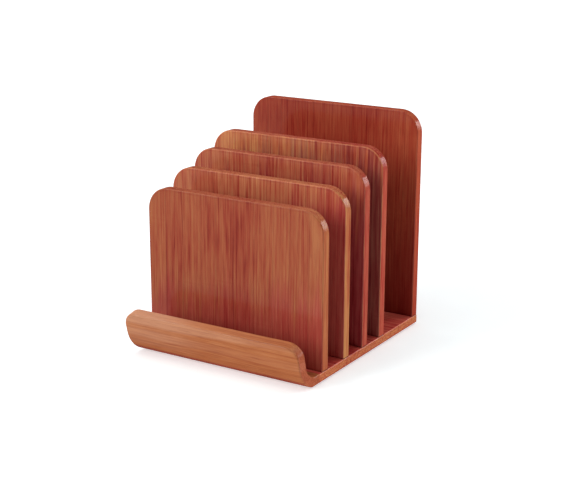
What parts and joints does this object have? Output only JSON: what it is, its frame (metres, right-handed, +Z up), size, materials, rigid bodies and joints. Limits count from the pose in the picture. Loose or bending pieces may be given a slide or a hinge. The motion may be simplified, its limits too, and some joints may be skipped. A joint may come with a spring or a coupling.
{
  "type": "desktop file sorter",
  "caption": "Free-standing desktop file sorter: flat base with an upswept front lip, stepped upright dividers and a taller back panel behind a wider section, all in stained bamboo.",
  "frame": {"origin": "on the desk, under the middle of the sorter's bounding box", "axes": "+X along the width of the panels, +Y from the front lip to the back panel, +Z up"},
  "size_m": [0.203, 0.2476, 0.2323],
  "materials": {
    "bamboo_panel": "semi-gloss lacquer over a red-brown stain",
    "bamboo_base": "semi-gloss lacquer over a red-brown stain",
    "bamboo_lip": "semi-gloss lacquer over a lighter orange-brown stain",
    "dowel_wood": "raw beech",
    "zinc_steel": "zinc plated",
    "pad_felt": "pressed felt"
  },
  "bodies": {
    "root": {"base_board": "bamboo_base", "front_lip": "bamboo_lip", "lip_dowels": "dowel_wood", "front_divider": "bamboo_panel", "front_divider_screws": "zinc_steel", "second_divider": "bamboo_panel", "second_divider_screws": "zinc_steel", "third_divider": "bamboo_panel", "third_divider_screws": "zinc_steel", "fourth_divider": "bamboo_panel", "fourth_divider_screws": "zinc_steel", "back_panel": "bamboo_panel", "back_panel_screws": "zinc_steel", "front_left_foot_pad": "pad_felt", "front_right_foot_pad": "pad_felt", "rear_left_foot_pad": "pad_felt", "rear_right_foot_pad": "pad_felt"}
  },
  "joints": []
}
